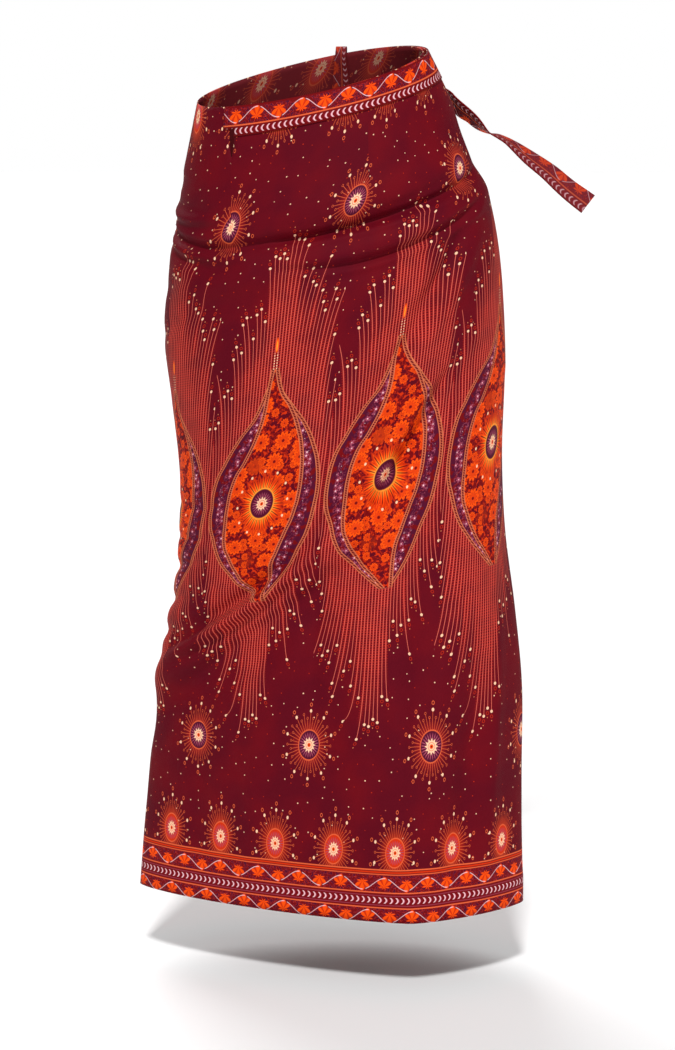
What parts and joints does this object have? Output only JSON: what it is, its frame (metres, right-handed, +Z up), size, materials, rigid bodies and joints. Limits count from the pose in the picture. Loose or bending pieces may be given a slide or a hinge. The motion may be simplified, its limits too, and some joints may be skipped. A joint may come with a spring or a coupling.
{
  "type": "wrap sarong skirt with waist ties",
  "caption": "Long wrap sarong as worn, one wide printed cloth wound round the hips and on under itself, with a border waistband, a tie slit and a knotted waist tie that flies free.",
  "frame": {"origin": "centre of the waist opening, where the wearer's hips hold the garment up", "axes": "+Z up the body, the front of the garment faces -Y, +X towards the wearer's left hip, where the tie flies free"},
  "size_m": [0.5525, 0.3106, 1.0234],
  "materials": {
    "printed_rayon": "soft matt woven rayon, wine ground with an orange, cream and plum print",
    "border_cloth": "soft matt woven rayon, border print in orange, cream and pink on wine"
  },
  "bodies": {
    "root": {"wrap_panel": "printed_rayon", "waistband": "border_cloth", "tie_outer": "border_cloth", "tie_inner": "border_cloth"}
  },
  "joints": []
}
